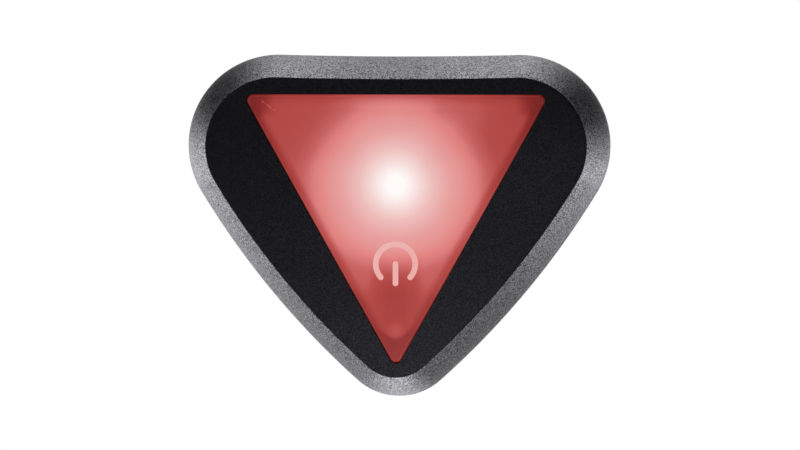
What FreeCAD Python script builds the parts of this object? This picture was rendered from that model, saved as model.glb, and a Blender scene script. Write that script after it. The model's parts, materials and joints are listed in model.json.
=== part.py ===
import FreeCAD, Part
import math
import os

V = FreeCAD.Vector

# A plug-in rear light for a bicycle helmet. Lengths are millimetres.
# X is to the right as seen from the front, Z is up, and the front faces towards -Y.
# The origin is on the axis of the battery drum, in the plane of the seat on the helmet.

# Outline of the casing, seen from the front: it goes round the screws, and so round the drum
corner_up = 6.09
corner_radius = 9.01
screw_past_corner = 4.237
toe_radius = 6.23
side_bow_radius = 83.0
top_dip_radius = 430.0

# Layers from the seat to the front face
plate_thickness = 1.5
board_gap = 0.9
board_thickness = 0.8
lens_room = 1.2
flange_thickness = 0.72
flange_play = 0.08
deck_thickness = 1.2
cover_sink = 0.3
cover_stand = 0.5

# Casing ring
slope_width = 2.1
slope_bulge = 0.28
rim_lift = 0.3
rim_wall = 1.2
cavity_inset = 2.7
deck_overlap = 0.7
cover_step = 0.5
cover_gap = 0.04
cover_edge_radius = 0.42
window_edge_radius = 0.12

# Lens, a triangle that points down, with its corners inside the casing's round corners
lens_corner_angle = 59.6
lens_corner_margin = 1.02
lens_toe_margin = 1.094
lens_corner_radius = 0.48
lens_edge_radius = 0.08
lens_inner_radius = 0.4
lens_wall = 1.2
lens_skirt = 1.0
lens_flange = 0.9
flange_clearance = 0.25
lens_gap = 0.12
pivot_drop = 1.27
pivot_radius = 0.5
pivot_set = 0.2
pivot_clearance = 0.05
pivot_end_gap = 0.3
cradle_gap = 0.551
cradle_width = 1.05
cradle_half_height = 1.0
cradle_rise = 0.6
post_radius = 1.0

# Power symbol in the face of the lens
symbol_drop = 5.56
symbol_radius = 1.97
symbol_stroke = 0.56
symbol_gap_half_angle = 48.0
symbol_bar_up = -0.01
symbol_bar_down = 1.92
symbol_depth = 0.3

# Reflector
reflector_clearance = 0.35
reflector_front_gap = 0.75
reflector_corner_radius = 0.5
reflector_mouth = 6.9
reflector_throat = 2.75
reflector_bottom = 6.0

# Circuit board and what is on it
board_inset = 4.2
board_notch = 0.3
led_size = 3.5
led_height = 0.9
led_cup_radius = 1.35
led_cup_depth = 0.3
led_dome_radius = 1.3
led_dome_height = 0.75
switch_drop = 7.9
switch_width = 4.4
switch_depth = 3.2
switch_height = 0.9
switch_base = 0.2
switch_frame_thickness = 0.15
switch_frame_skirt = 0.45
stem_radius = 0.9
stem_collar_radius = 1.25
stem_collar_thickness = 0.14
stem_stand = 0.6
stem_clearance = 0.08
stem_gap = 0.05
chip_length = 4.9
chip_width = 3.9
chip_height = 0.95
chip_across = -2.6
chip_up = 3.2
legs_a_side = 4
leg_pitch = 1.27
leg_width = 0.4
leg_reach = 0.85
leg_thickness = 0.2
resistor_length = 1.6
resistor_width = 0.8
resistor_height = 0.45
resistor_pitch = 1.7
resistor_count = 3
resistor_across = 3.6
resistor_up = 5.4
capacitor_length = 2.0
capacitor_width = 1.25
capacitor_height = 0.85
capacitor_places = ((3.4, -3.2), (-3.6, -3.6))

# Rear housing
plate_clearance = 0.15
recess_radius = 11.0
recess_depth = 0.9
partition_thickness = 0.9
gasket_inset = 0.45
gasket_width = 0.7
gasket_groove_depth = 0.6
gasket_side_clearance = 0.05
shell_post_gap = 0.445
shell_post_up = 3.2
shell_post_radius = 0.8
board_post_across = 7.8
board_post_up = 6.4
board_post_radius = 0.8
switch_post_radius = 1.2
keeper_set = 0.15
keeper_radius = 0.7
peg_past_corner = 1.302
peg_above_corner = 4.21
peg_radius = 1.0
peg_length = 1.6
peg_chamfer = 0.3

# Case screws: two beside the catches and one under the drum
screw_catch_gap = 0.1
screw_catch_angle = 61.7
screw_drum_gap = 0.95
toe_boss_overlap = 0.546
screw_radius = 0.8
screw_length = 2.5
screw_head_radius = 1.45
screw_head_height = 0.7
screw_head_sink = 0.15
screw_tip_chamfer = 0.27
screw_clearance = 0.15
screw_bore_clearance = 0.03
screw_tip_room = 0.1
head_clearance = 0.2
boss_wall = 0.85
boss_floor = 0.3
driver_slot_width = 0.35
driver_slot_length = 1.9
driver_slot_depth = 0.35

# Coin cell, its contacts and the battery drum
cell_radius = 10.0
cell_height = 3.2
cell_can_wall = 0.3
cell_can_start = 0.4
cell_gasket_wall = 0.35
cell_cap_step = 0.7
cell_play = 0.02
cell_clearance = 0.3
contact_thickness = 0.2
negative_length = 7.0
contact_width = 2.8
tail_width = 1.4
tail_clearance = 0.15
positive_gap = 0.35
positive_bump_radius = 0.55
positive_bump_back = 1.6
positive_length = 2.7
pocket_clearance = 0.25

# Battery cover with its bayonet
cushion_thickness = 0.2
cushion_gap = 0.05
cushion_radius = 4.0
lip_clearance = 0.2
hub_clearance = 0.08
lug_reach = 0.73
lug_thickness = 0.57
lug_lift = 0.03
lug_play = 0.05
lug_count = 3
lug_angle = 24.0
lug_side_play = 2.0
cover_turn = 45.0
undercut_clearance = 0.1
lip_thickness = 0.6
head_play = 0.05
seal_radius = 0.3
seal_play = 0.02
seal_neck_gap = 0.07
head_edge = 0.45
head_gap = 0.1
head_chamfer = 0.2
drum_wall = 0.9
drum_chamfer = 0.35
coin_slot_length = 13.0
coin_slot_width = 1.9
coin_slot_depth = 1.4

# Snap arms
panel_thickness = 4.0
panel_play = 0.3
arm_flex_gap = 1.25
arm_thickness = 1.0
arm_width = 4.6
arm_up = 2.0
arm_root_radius = 0.55
arm_root_lift = 0.15
arm_root_clearance = 0.05
arm_end_clearance = 0.1
arm_taper = 0.2
hook_reach = 0.75
hook_land = 0.3
hook_ramp = 1.2

# How far a cutting tool reaches past what it cuts
overrun = 1.0

# Levels along Y that follow from the layers
seat_y = 0.0
plate_front_y = seat_y - plate_thickness
board_back_y = plate_front_y - board_gap
board_front_y = board_back_y - board_thickness
skirt_back_y = board_front_y - lens_room
flange_front_y = skirt_back_y - flange_thickness
deck_back_y = flange_front_y - flange_play
recess_floor_y = deck_back_y - deck_thickness
land_y = recess_floor_y - cover_sink
face_y = land_y - cover_stand
lens_back_y = face_y + lens_wall
rim_back_y = seat_y - rim_lift
partition_front_y = plate_front_y + recess_depth
partition_back_y = partition_front_y + partition_thickness
cell_front_y = partition_back_y + contact_thickness
cell_back_y = cell_front_y + cell_height
hub_front_y = cell_back_y + cushion_gap + cushion_thickness
lug_front_y = hub_front_y + lug_lift
lip_front_y = lug_front_y + lug_thickness + lug_play
lip_back_y = lip_front_y + lip_thickness
head_front_y = lip_back_y + head_play
seal_y = lip_back_y + head_play / 2 + seal_radius
head_step_y = seal_y + seal_radius + seal_play
drum_back_y = head_step_y + head_edge
screw_seat_y = seat_y - screw_head_sink - screw_head_height
screw_tip_y = screw_seat_y - screw_length
bore_end_y = screw_tip_y - screw_tip_room
stem_top_y = board_front_y - switch_height - stem_stand
catch_y = seat_y + panel_thickness + panel_play

# Radii that follow from the coin cell
bore_radius = cell_radius + cell_clearance
lip_radius = cell_radius + lip_clearance
hub_radius = lip_radius - hub_clearance
lug_radius = hub_radius + lug_reach
undercut_radius = lug_radius + undercut_clearance
seal_ring_radius = undercut_radius + seal_neck_gap + seal_radius
head_radius = seal_ring_radius + seal_radius - seal_play
mouth_radius = head_radius + head_gap
drum_radius = mouth_radius + drum_wall

# Places that follow from the drum: the catches, the screws and the casing's outline
arm_inner = drum_radius + arm_flex_gap
arm_outer = arm_inner + arm_thickness
arm_root_across = arm_inner + arm_thickness / 2
arm_root_y = seat_y + arm_root_lift
hook_across = arm_outer + hook_reach
screw_reach = screw_head_radius + screw_catch_gap
screw_across = hook_across + screw_reach * math.cos(math.radians(screw_catch_angle))
screw_up = arm_up + arm_width / 2 + screw_reach * math.sin(math.radians(screw_catch_angle))
boss_radius = screw_radius + boss_wall
toe_screw_down = drum_radius + screw_drum_gap + screw_head_radius + head_clearance
screw_places = ((-screw_across, screw_up), (screw_across, screw_up), (0.0, -toe_screw_down))
corner_across = screw_across - screw_past_corner
toe_down = toe_screw_down - (toe_radius - cavity_inset - boss_radius + toe_boss_overlap)
peg_across = corner_across + peg_past_corner
peg_up = corner_up + peg_above_corner

# Places that follow from the outline: the lens and what is round it
corner_reach = corner_radius - slope_width - lens_corner_margin
toe_reach = toe_radius - slope_width - lens_toe_margin
lens_half_width = corner_across + corner_reach * math.cos(math.radians(lens_corner_angle))
lens_top = corner_up + corner_reach * math.sin(math.radians(lens_corner_angle))
lens_height = lens_top + toe_down + toe_reach
lens_side = math.hypot(lens_half_width, lens_height)
lens_inradius = lens_half_width * lens_height / (lens_side + lens_half_width)
light_up = lens_top - lens_inradius
flange_across = lens_flange * lens_side / lens_height
pivot_up = lens_top - pivot_drop
pivot_y = skirt_back_y - pivot_set
pivot_inner_end = lens_half_width * (1 - pivot_drop / lens_height)
cradle_inner = pivot_inner_end + flange_across + cradle_gap
cradle_outer = cradle_inner + cradle_width
pivot_outer_end = cradle_outer - pivot_end_gap
keeper_across = cradle_inner + keeper_set
shell_post_edge = lens_half_width * (1 - (lens_top - shell_post_up) / lens_height) + flange_across
shell_post_across = shell_post_edge + shell_post_gap + shell_post_radius
plate_inset = rim_wall + plate_clearance
gasket_outer_inset = plate_inset + gasket_inset


def side_centre():
    """Centre of the bowed right side, which touches the corner and the toe circle from inside."""
    to_corner = side_bow_radius - corner_radius
    to_toe = side_bow_radius - toe_radius
    across = -corner_across
    down = -toe_down - corner_up
    span = math.hypot(across, down)
    along = (to_corner ** 2 - to_toe ** 2 + span ** 2) / (2 * span)
    off = math.sqrt(to_corner ** 2 - along ** 2)
    x = corner_across + (along * across + off * down) / span
    z = corner_up + (along * down - off * across) / span
    return x, z


def outline_arcs():
    """The six arcs of the casing's outline, each as centre, radius, start, end and bend.

    Angles run from +X towards +Z. The bend is 1 where the outline bulges and -1 where it dips.
    """
    side_x, side_z = side_centre()
    top_z = corner_up + math.sqrt((top_dip_radius + corner_radius) ** 2 - corner_across ** 2)
    to_top = math.atan2(top_z - corner_up, -corner_across)
    to_side = math.atan2(corner_up - side_z, corner_across - side_x)
    to_toe = math.atan2(-toe_down - side_z, -side_x)
    half = math.pi
    return [
        ((corner_across, corner_up), corner_radius, to_top, to_side, 1),
        ((side_x, side_z), side_bow_radius, to_side, to_toe, 1),
        ((0.0, -toe_down), toe_radius, to_toe, -half - to_toe, 1),
        ((-side_x, side_z), side_bow_radius, half - to_toe, half - to_side, 1),
        ((-corner_across, corner_up), corner_radius, half - to_side, half - to_top, 1),
        ((0.0, top_z), top_dip_radius, -to_top, to_top - half, -1),
    ]


def on_arc(arc, inset, angle, y):
    centre, radius, start, end, bend = arc
    reach = radius - bend * inset
    return V(centre[0] + reach * math.cos(angle), y, centre[1] + reach * math.sin(angle))


def outline_prism(inset, y_from, y_to):
    """A block with the casing's outline, drawn in by the inset."""
    edges = []
    for arc in outline_arcs():
        start, end = arc[2], arc[3]
        middle = (start + end) / 2
        points = [on_arc(arc, inset, angle, y_from) for angle in (start, middle, end)]
        edges.append(Part.Arc(*points).toShape())
    return Part.Face(Part.Wire(edges)).extrude(V(0, y_to - y_from, 0))


def outline_ring(profile):
    """A ring that follows the casing's outline with one cross-section.

    The profile is a closed list of segments. Each has two points, or three for an arc, and each
    point is an inset from the outline and a level along Y.
    """
    pieces = []
    for arc in outline_arcs():
        centre, radius, start, end, bend = arc
        edges = []
        for segment in profile:
            points = [on_arc(arc, inset, start, y) for inset, y in segment]
            if len(points) == 3:
                edges.append(Part.Arc(*points).toShape())
            else:
                edges.append(Part.makeLine(*points))
        face = Part.Face(Part.Wire(edges))
        axis_point = V(centre[0], 0, centre[1])
        pieces.append(face.revolve(axis_point, V(0, 1, 0), math.degrees(start - end)))
    return pieces[0].fuse(pieces[1:]).removeSplitter()


def closed_profile(points):
    """Straight segments through the points and back to the first."""
    return list(zip(points, points[1:] + points[:1]))


def rounded_prism(corners, radius, y_from, y_to):
    """A block whose outline is a polygon in X and Z with rounded corners."""
    places = [V(x, y_from, z) for x, z in corners]
    arcs = []
    for before, corner, after in zip(places[-1:] + places[:-1], places, places[1:] + places[:1]):
        back = (before - corner).normalize()
        onward = (after - corner).normalize()
        half_angle = back.getAngle(onward) / 2
        bisector = (back + onward).normalize()
        run = radius / math.tan(half_angle)
        middle = corner + bisector * (radius / math.sin(half_angle) - radius)
        arcs.append((corner + back * run, middle, corner + onward * run))
    edges = []
    for this, following in zip(arcs, arcs[1:] + arcs[:1]):
        edges.append(Part.Arc(*this).toShape())
        edges.append(Part.makeLine(this[2], following[0]))
    return Part.Face(Part.Wire(edges)).extrude(V(0, y_to - y_from, 0))


def lens_prism(grow, radius, y_from, y_to):
    """A block with the lens's triangle, grown or shrunk about its lamp."""
    scale = (lens_inradius + grow) / lens_inradius
    top = light_up + (lens_top - light_up) * scale
    toe = light_up - (lens_height - lens_inradius) * scale
    half = lens_half_width * scale
    return rounded_prism(((-half, top), (half, top), (0.0, toe)), radius, y_from, y_to)


def disc(radius, y_from, y_to, x=0.0, z=0.0):
    return Part.makeCylinder(radius, y_to - y_from, V(x, y_from, z), V(0, 1, 0))


def block(x_from, x_to, y_from, y_to, z_from, z_to):
    return Part.makeBox(x_to - x_from, y_to - y_from, z_to - z_from, V(x_from, y_from, z_from))


def centred_block(width, height, y_from, y_to, x=0.0, z=0.0):
    return block(x - width / 2, x + width / 2, y_from, y_to, z - height / 2, z + height / 2)


def joined(shapes):
    return shapes[0].fuse(shapes[1:]).removeSplitter()


def mirrored(shape):
    return shape.mirror(V(0, 0, 0), V(1, 0, 0))


def edges_where(shape, test):
    """The edges whose every end, and middle, passes the test."""
    chosen = []
    for edge in shape.Edges:
        first, last = edge.ParameterRange
        places = [edge.valueAt(t) for t in (first, (first + last) / 2, last)]
        if all(test(place) for place in places):
            chosen.append(edge)
    return chosen


def level(value):
    return lambda place: abs(place.y - value) < 1e-4


def screw_bores(shape, radius, y_from, y_to):
    for x, z in screw_places:
        shape = shape.cut(disc(radius, y_from, y_to, x, z))
    return shape


def front_shell():
    """Sloped grey ring, the deck behind the black cover, screw bosses and lens cradles."""
    middle = (slope_width / 2 - slope_bulge, (land_y + plate_front_y) / 2)
    deck_inset = cavity_inset + deck_overlap
    slope = ((0.0, plate_front_y), middle, (slope_width, land_y))
    inner = [
        (slope_width, land_y),
        (deck_inset, land_y),
        (deck_inset, deck_back_y),
        (cavity_inset, deck_back_y),
        (cavity_inset, plate_front_y),
        (rim_wall, plate_front_y),
        (rim_wall, rim_back_y),
        (0.0, rim_back_y),
        (0.0, plate_front_y),
    ]
    ring = outline_ring([slope] + list(zip(inner, inner[1:])))
    pieces = [ring, outline_prism(deck_inset - deck_overlap / 2, land_y, deck_back_y)]
    inside_deck_y = deck_back_y - deck_thickness / 2
    for x, z in screw_places:
        boss_front_y = inside_deck_y if x else bore_end_y - boss_floor
        pieces.append(disc(boss_radius, boss_front_y, plate_front_y, x, z))
    for side in (-1, 1):
        post_x = side * shell_post_across
        pieces.append(disc(shell_post_radius, inside_deck_y, board_front_y, post_x, shell_post_up))
        cradle_x = sorted((side * cradle_inner, side * cradle_outer))
        cradle_z = (pivot_up - cradle_half_height, pivot_up + cradle_half_height)
        pieces.append(block(*cradle_x, inside_deck_y, pivot_y + cradle_rise, *cradle_z))
    shell = joined(pieces)
    shell = shell.cut(lens_window(land_y - overrun, deck_back_y + overrun))
    shell = shell.cut(outline_prism(slope_width + cover_step, land_y - overrun, recess_floor_y))
    slot_radius = pivot_radius + pivot_clearance
    for side in (-1, 1):
        start_x = min(side * (cradle_inner - overrun), side * (cradle_outer + pivot_clearance))
        length = cradle_outer + pivot_clearance - cradle_inner + overrun
        start = V(start_x, pivot_y, pivot_up)
        shell = shell.cut(Part.makeCylinder(slot_radius, length, start, V(1, 0, 0)))
        slot_z = (pivot_up - slot_radius, pivot_up + slot_radius)
        shell = shell.cut(block(start_x, start_x + length, pivot_y, plate_front_y - overrun, *slot_z))
    return screw_bores(shell, screw_radius + screw_bore_clearance, bore_end_y, plate_front_y)


def lens_window(y_from, y_to):
    return lens_prism(lens_gap, lens_corner_radius + lens_gap, y_from, y_to)


def front_cover():
    """Black soft-touch face plate that stands a little proud of the grey ring."""
    face = outline_prism(slope_width, face_y, land_y)
    face = face.makeFillet(cover_edge_radius, edges_where(face, level(face_y)))
    tongue = outline_prism(slope_width + cover_step + cover_gap, land_y, recess_floor_y)
    cover = joined([face, tongue]).cut(lens_window(face_y - overrun, recess_floor_y + overrun))
    window = edges_where(cover, lambda place: level(face_y)(place) and in_window(place))
    return cover.makeFillet(window_edge_radius, window)


def in_window(place):
    grown = (lens_inradius + 2 * lens_gap) / lens_inradius
    top = light_up + (lens_top - light_up) * grown
    toe = light_up - (lens_height - lens_inradius) * grown
    half = lens_half_width * grown * (place.z - toe) / (top - toe)
    return toe < place.z < top and abs(place.x) < half


def lens():
    """Red triangular cap that is also the push button, with a flange, two pivots and a post."""
    cap = lens_prism(0.0, lens_corner_radius, face_y, skirt_back_y)
    cap = cap.makeFillet(lens_edge_radius, edges_where(cap, level(face_y)))
    flange = lens_prism(lens_flange, lens_corner_radius + lens_flange, flange_front_y, skirt_back_y)
    flange = flange.common(outline_prism(cavity_inset + flange_clearance, face_y, seat_y))
    pieces = [cap, flange]
    for side in (-1, 1):
        start = V(min(side * pivot_inner_end, side * pivot_outer_end), pivot_y, pivot_up)
        length = pivot_outer_end - pivot_inner_end
        pieces.append(Part.makeCylinder(pivot_radius, length, start, V(1, 0, 0)))
    cap = joined(pieces)
    cap = cap.cut(lens_prism(-lens_skirt, lens_inner_radius, lens_back_y, skirt_back_y + overrun))
    post = disc(post_radius, lens_back_y - lens_wall / 2, stem_top_y - stem_gap, 0, -switch_drop)
    cap = joined([cap, post])
    for mark in symbol_marks():
        cap = cap.cut(mark)
    return cap


def pill(length, width, y_from, y_to, x=0.0, z=0.0, along_x=False):
    """A block with round ends, its length along Z or X."""
    half = length / 2 - width / 2
    if along_x:
        ends = [disc(width / 2, y_from, y_to, x + step, z) for step in (-half, half)]
        return joined(ends + [centred_block(2 * half, width, y_from, y_to, x, z)])
    ends = [disc(width / 2, y_from, y_to, x, z + step) for step in (-half, half)]
    return joined(ends + [centred_block(width, 2 * half, y_from, y_to, x, z)])


def symbol_marks():
    """Open ring and bar of the power symbol, set into the lens's face."""
    floor_y = face_y + symbol_depth
    half = symbol_stroke / 2
    gap = math.radians(symbol_gap_half_angle)
    start, end = gap - math.pi / 2, 3 * math.pi / 2 - gap

    def spot(radius, angle):
        return V(radius * math.cos(angle), face_y, radius * math.sin(angle) - symbol_drop)

    def curve(radius, angles):
        return Part.Arc(*[spot(radius, angle) for angle in angles]).toShape()

    def cap(angle, onward):
        tip = spot(symbol_radius, angle)
        tip = tip + V(-math.sin(angle), 0, math.cos(angle)) * onward * half
        inner, outer = spot(symbol_radius - half, angle), spot(symbol_radius + half, angle)
        return Part.Arc(inner, tip, outer).toShape()

    middle = (start + end) / 2
    edges = [
        curve(symbol_radius + half, (start, middle, end)),
        cap(end, 1),
        curve(symbol_radius - half, (start, middle, end)),
        cap(start, -1),
    ]
    ring = Part.Face(Part.Wire(Part.sortEdges(edges)[0])).extrude(V(0, floor_y - face_y, 0))
    length = symbol_bar_up + symbol_bar_down + symbol_stroke
    centre = -symbol_drop + (symbol_bar_up - symbol_bar_down) / 2
    return [ring, pill(length, symbol_stroke, face_y, floor_y, 0, centre)]


def reflector():
    """White light chamber around the lamp, stopping short of the switch."""
    front_y = lens_back_y + reflector_front_gap
    grow = -lens_skirt - reflector_clearance
    body = lens_prism(grow, reflector_corner_radius, front_y, board_front_y)
    span = lens_half_width + overrun
    depth_y = (front_y - overrun, board_front_y + overrun)
    body = body.cut(block(-span, span, *depth_y, -lens_height, -reflector_bottom))
    depth = board_front_y - front_y
    start = V(0, front_y, light_up)
    return body.cut(Part.makeCone(reflector_mouth, reflector_throat, depth, start, V(0, 1, 0)))


def circuit_board():
    board = outline_prism(board_inset, board_front_y, board_back_y)
    through = (board_front_y - overrun, board_back_y + overrun)
    for side in (-1, 1):
        board = board.cut(disc(keeper_radius + board_notch, *through, side * keeper_across, pivot_up))
    return screw_bores(board, boss_radius + board_notch, *through)


def led_package():
    front_y = board_front_y - led_height
    body = centred_block(led_size, led_size, front_y, board_front_y, 0, light_up)
    return body.cut(disc(led_cup_radius, front_y, front_y + led_cup_depth, 0, light_up))


def led_dome():
    """Clear dome that fills the cup of the lamp."""
    front_y = board_front_y - led_height
    ball_radius = (led_dome_radius ** 2 + led_dome_height ** 2) / (2 * led_dome_height)
    centre = V(0, front_y - led_dome_height + ball_radius, light_up)
    ball = Part.makeSphere(ball_radius, centre)
    reach_y = front_y - led_dome_height - overrun
    cap = ball.common(disc(led_dome_radius + overrun, reach_y, front_y, 0, light_up))
    return joined([cap, disc(led_dome_radius, front_y, front_y + led_cup_depth, 0, light_up)])


def switch_levels():
    front_y = board_front_y - switch_height
    return front_y, front_y + switch_frame_thickness


def switch_body():
    front_y, tray_y = switch_levels()
    tray = centred_block(switch_width, switch_depth, tray_y, board_front_y, 0, -switch_drop)
    well = disc(stem_collar_radius + stem_clearance, tray_y, board_front_y - switch_base, 0, -switch_drop)
    return tray.cut(well)


def switch_frame():
    """Metal cover of the switch with a skirt on two sides."""
    front_y, tray_y = switch_levels()
    width = switch_width + 2 * switch_frame_thickness
    frame = centred_block(width, switch_depth, front_y, tray_y + switch_frame_skirt, 0, -switch_drop)
    room = centred_block(switch_width, switch_depth + overrun, tray_y, board_front_y, 0, -switch_drop)
    hole_radius = stem_radius + stem_clearance
    hole = disc(hole_radius, front_y - overrun, tray_y + overrun, 0, -switch_drop)
    return frame.cut(room).cut(hole)


def switch_stem():
    front_y, tray_y = switch_levels()
    collar_y = tray_y + stem_gap
    stem = disc(stem_radius, stem_top_y, collar_y + stem_collar_thickness, 0, -switch_drop)
    collar = disc(stem_collar_radius, collar_y, collar_y + stem_collar_thickness, 0, -switch_drop)
    return joined([stem, collar])


def controller_chip():
    back_y = board_back_y + chip_height
    chip = centred_block(chip_length, chip_width, board_back_y, back_y, chip_across, chip_up)
    mark_x = chip_across - chip_length / 2 + leg_pitch / 2
    mark_z = chip_up - chip_width / 2 + leg_pitch / 2
    return chip.cut(disc(leg_width / 2, back_y - leg_thickness / 2, back_y + overrun, mark_x, mark_z))


def chip_legs():
    """Bent legs in a row on each long side of the chip."""
    legs = []
    knee_y = board_back_y + chip_height / 2
    for side in (-1, 1):
        edge_z = chip_up + side * chip_width / 2
        for step in range(legs_a_side):
            x = chip_across + (step - (legs_a_side - 1) / 2) * leg_pitch
            elbow_z = edge_z + side * (leg_reach / 2)
            out = sorted((edge_z, elbow_z))
            down = sorted((elbow_z - side * leg_thickness, elbow_z))
            foot = sorted((elbow_z - side * leg_thickness, edge_z + side * leg_reach))
            across = (x - leg_width / 2, x + leg_width / 2)
            legs.append(
                joined(
                    [
                        block(*across, knee_y - leg_thickness, knee_y, *out),
                        block(*across, board_back_y, knee_y, *down),
                        block(*across, board_back_y, board_back_y + leg_thickness, *foot),
                    ]
                )
            )
    return Part.makeCompound(legs)


def resistors():
    row = []
    for step in range(resistor_count):
        x = resistor_across + step * resistor_pitch / 2
        z = resistor_up - step * resistor_pitch
        back_y = board_back_y + resistor_height
        row.append(centred_block(resistor_length, resistor_width, board_back_y, back_y, x, z))
    return Part.makeCompound(row)


def capacitors():
    back_y = board_back_y + capacitor_height
    return Part.makeCompound(
        [
            centred_block(capacitor_length, capacitor_width, board_back_y, back_y, x, z)
            for x, z in capacitor_places
        ]
    )


def negative_contact():
    """Flat spring under the cell, with a tail through the partition to the board."""
    leaf = block(
        -negative_length,
        contact_width / 2,
        partition_back_y,
        cell_front_y,
        -contact_width / 2,
        contact_width / 2,
    )
    tail_x = (-negative_length, -negative_length + contact_thickness)
    tail = block(*tail_x, board_back_y, cell_front_y, -tail_width / 2, tail_width / 2)
    return joined([leaf, tail])


def positive_contact():
    """Side spring in a pocket of the drum, with a tail through the partition to the board."""
    z_from = cell_radius + positive_gap
    z_to = z_from + contact_thickness
    leaf_y = (partition_back_y + tail_clearance, partition_back_y + positive_length)
    leaf = block(-contact_width / 2, contact_width / 2, *leaf_y, z_from, z_to)
    tail = block(-tail_width / 2, tail_width / 2, board_back_y, leaf_y[1], z_from, z_to)
    bump_z = cell_radius + cell_play + positive_bump_radius
    bump_start = V(-contact_width / 2, partition_back_y + positive_bump_back, bump_z)
    bump = Part.makeCylinder(positive_bump_radius, contact_width, bump_start, V(1, 0, 0))
    bump = bump.common(block(-contact_width, contact_width, seat_y, drum_back_y, 0, z_to))
    return joined([leaf, tail, bump])


def cell_levels():
    can_y = cell_front_y + cell_can_start
    return can_y, cell_back_y - cell_can_wall


def coin_cell():
    """Steel can of the coin cell, closed towards the battery cover."""
    can_y, floor_y = cell_levels()
    can = disc(cell_radius, can_y, cell_back_y)
    can = can.makeFillet(cell_can_wall, edges_where(can, level(cell_back_y)))
    return can.cut(disc(cell_radius - cell_can_wall, can_y, floor_y))


def cell_gasket():
    can_y, floor_y = cell_levels()
    outer = cell_radius - cell_can_wall
    ring = disc(outer, can_y, floor_y)
    return ring.cut(disc(outer - cell_gasket_wall, can_y, floor_y))


def cell_cap():
    """Inner cup of the cell, its small face towards the negative contact."""
    can_y, floor_y = cell_levels()
    radius = cell_radius - cell_can_wall - cell_gasket_wall
    top = disc(radius - cell_cap_step, cell_front_y, can_y)
    top = top.makeFillet(cell_can_wall / 2, edges_where(top, level(cell_front_y)))
    return joined([top, disc(radius, can_y, floor_y)])


def sector(radius, y_from, y_to, middle_angle, half_angle):
    """A wedge of a disc, centred on an angle from +X towards +Z, in degrees."""
    face = Part.Face(
        Part.makePolygon(
            [V(0, y_from, 0), V(radius, y_from, 0), V(radius, y_to, 0), V(0, y_to, 0), V(0, y_from, 0)]
        )
    )
    wedge = face.revolve(V(0, 0, 0), V(0, 1, 0), 2 * half_angle)
    wedge.rotate(V(0, 0, 0), V(0, 1, 0), -middle_angle - half_angle)
    return wedge


def lug_angles():
    return [90 + 360 / lug_count * step for step in range(lug_count)]


def rear_housing():
    """Seat plate, partition and battery drum in one moulding."""
    plate = outline_prism(plate_inset, plate_front_y, seat_y)
    drum = disc(drum_radius, plate_front_y, drum_back_y)
    drum = drum.makeChamfer(drum_chamfer, edges_where(drum, level(drum_back_y)))
    pieces = [plate, drum]
    for side in (-1, 1):
        peg = disc(peg_radius, plate_front_y, seat_y + peg_length, side * peg_across, peg_up)
        pieces.append(peg.makeChamfer(peg_chamfer, edges_where(peg, level(seat_y + peg_length))))
    housing = joined(pieces)
    housing = housing.cut(disc(recess_radius, plate_front_y - overrun, partition_front_y))
    housing = housing.cut(disc(bore_radius, partition_back_y, lip_front_y))
    housing = housing.cut(disc(lip_radius, lip_front_y - overrun, drum_back_y + overrun))
    housing = housing.cut(disc(mouth_radius, lip_back_y, drum_back_y + overrun))
    half = lug_angle / 2 + lug_side_play
    for angle in lug_angles():
        track_y = lug_front_y - lug_play
        track_middle = angle - cover_turn / 2
        housing = housing.cut(
            sector(undercut_radius, track_y, lip_front_y, track_middle, half + cover_turn / 2)
        )
        entry_y = lip_back_y + overrun
        housing = housing.cut(sector(undercut_radius, track_y, entry_y, angle - cover_turn, half))
    housing = seal_groove(housing)
    housing = contact_slots(housing)
    shank_room = screw_radius + screw_clearance
    head_room = screw_head_radius + head_clearance
    housing = screw_bores(housing, shank_room, plate_front_y - overrun, seat_y + overrun)
    housing = screw_bores(housing, head_room, screw_seat_y, seat_y + overrun)
    for side in (-1, 1):
        start = V(side * arm_root_across, arm_root_y, arm_up - arm_width / 2 - arm_end_clearance)
        length = arm_width + 2 * arm_end_clearance
        radius = arm_root_radius + arm_root_clearance
        housing = housing.cut(Part.makeCylinder(radius, length, start, V(0, 0, 1)))
    return joined([housing] + housing_posts())


def seal_groove(housing):
    """Groove round the front of the seat plate for the casing gasket."""
    outer = gasket_outer_inset - gasket_side_clearance
    inner = gasket_outer_inset + gasket_width + gasket_side_clearance
    floor_y = plate_front_y + gasket_groove_depth
    groove = [(outer, plate_front_y), (inner, plate_front_y), (inner, floor_y), (outer, floor_y)]
    return housing.cut(outline_ring(closed_profile(groove)))


def contact_slots(housing):
    """Slots for the contacts' tails, and the side spring's pocket."""
    half = tail_width / 2 + tail_clearance
    slot_y = (partition_front_y - overrun, partition_back_y + tail_clearance)
    tail_x = -negative_length
    slot_x = (tail_x - tail_clearance, tail_x + contact_thickness + tail_clearance)
    housing = housing.cut(block(*slot_x, *slot_y, -half, half))
    z_from = cell_radius + positive_gap
    z_to = z_from + contact_thickness
    slot_z = (z_from - tail_clearance, z_to + tail_clearance)
    housing = housing.cut(block(-half, half, *slot_y, *slot_z))
    width = contact_width / 2 + pocket_clearance
    pocket_y = (partition_back_y, partition_back_y + positive_length + pocket_clearance)
    return housing.cut(block(-width, width, *pocket_y, 0, z_to + pocket_clearance))


def housing_posts():
    """Posts behind the board and the switch, and the keepers behind the lens's pivots."""
    posts = [disc(switch_post_radius, board_back_y, partition_front_y, 0, -switch_drop)]
    for side in (-1, 1):
        across = side * board_post_across
        posts.append(disc(board_post_radius, board_back_y, partition_front_y, across, board_post_up))
        keeper_y = pivot_y + cradle_rise
        posts.append(disc(keeper_radius, keeper_y, plate_front_y, side * keeper_across, pivot_up))
    return posts


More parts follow.
